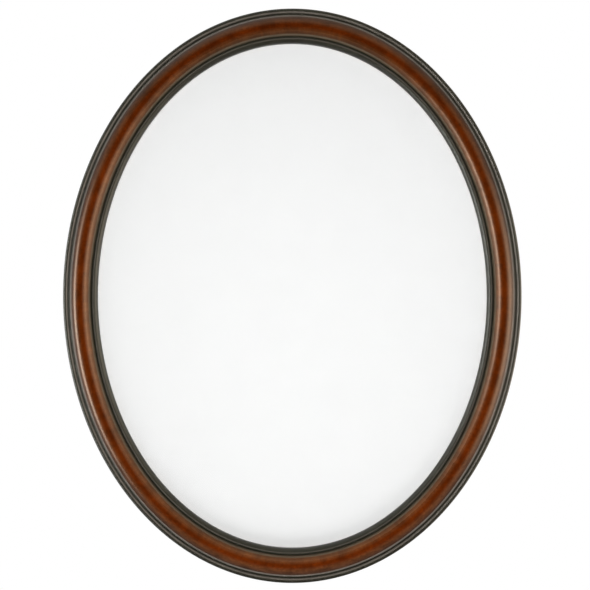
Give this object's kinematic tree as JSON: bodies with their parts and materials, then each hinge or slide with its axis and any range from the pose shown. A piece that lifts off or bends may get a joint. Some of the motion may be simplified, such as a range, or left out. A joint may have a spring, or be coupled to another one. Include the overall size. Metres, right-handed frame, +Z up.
{
  "type": "oval picture frame",
  "caption": "Oval wall picture frame with a convex walnut moulding, black beads, glass, blank card, backing board, turn buttons and a sawtooth hanger.",
  "frame": {"origin": "notch of the sawtooth hanger that sits on the wall nail, on the plane of the rails' backs", "axes": "+Z up as hung, +Y towards the wall, the picture looks towards -Y, +X to the right as seen from the front"},
  "size_m": [0.4024, 0.0262, 0.504],
  "materials": {
    "walnut_moulding": "satin lacquer",
    "clear_glass": "clear",
    "white_card": "matte",
    "hardboard": "matte",
    "zinc_steel": "zinc plated",
    "brass_plated_steel": "brass plated",
    "dark_rubber": "matte"
  },
  "bodies": {
    "frame": {"top_rail": "walnut_moulding", "right_rail": "walnut_moulding", "bottom_rail": "walnut_moulding", "left_rail": "walnut_moulding", "glass_pane": "clear_glass", "picture_card": "white_card", "backing_board": "hardboard", "turn_button_screws": "zinc_steel", "sawtooth_hanger": "brass_plated_steel", "hanger_nails": "zinc_steel", "left_bumper": "dark_rubber", "right_bumper": "dark_rubber"},
    "button_1": {"turn_button_1": "zinc_steel"},
    "button_2": {"turn_button_2": "zinc_steel"},
    "button_3": {"turn_button_3": "zinc_steel"},
    "button_4": {"turn_button_4": "zinc_steel"},
    "button_5": {"turn_button_5": "zinc_steel"},
    "button_6": {"turn_button_6": "zinc_steel"},
    "button_7": {"turn_button_7": "zinc_steel"},
    "button_8": {"turn_button_8": "zinc_steel"}
  },
  "joints": [
    {"name": "button_1_turn", "type": "hinge", "parent": "frame", "child": "button_1", "pos_m": [0.17271, 0.0007, -0.32808], "axis": [0, 1, 0], "continuous": true},
    {"name": "button_2_turn", "type": "hinge", "parent": "frame", "child": "button_2", "pos_m": [0.17271, 0.0007, -0.14752], "axis": [0, 1, 0], "continuous": true},
    {"name": "button_3_turn", "type": "hinge", "parent": "frame", "child": "button_3", "pos_m": [0.07214, 0.0007, -0.01871], "axis": [0, 1, 0], "continuous": true},
    {"name": "button_4_turn", "type": "hinge", "parent": "frame", "child": "button_4", "pos_m": [-0.07214, 0.0007, -0.01871], "axis": [0, 1, 0], "continuous": true},
    {"name": "button_5_turn", "type": "hinge", "parent": "frame", "child": "button_5", "pos_m": [-0.17271, 0.0007, -0.14752], "axis": [0, 1, 0], "continuous": true},
    {"name": "button_6_turn", "type": "hinge", "parent": "frame", "child": "button_6", "pos_m": [-0.17271, 0.0007, -0.32808], "axis": [0, 1, 0], "continuous": true},
    {"name": "button_7_turn", "type": "hinge", "parent": "frame", "child": "button_7", "pos_m": [-0.07214, 0.0007, -0.45689], "axis": [0, 1, 0], "continuous": true},
    {"name": "button_8_turn", "type": "hinge", "parent": "frame", "child": "button_8", "pos_m": [0.07214, 0.0007, -0.45689], "axis": [0, 1, 0], "continuous": true}
  ]
}
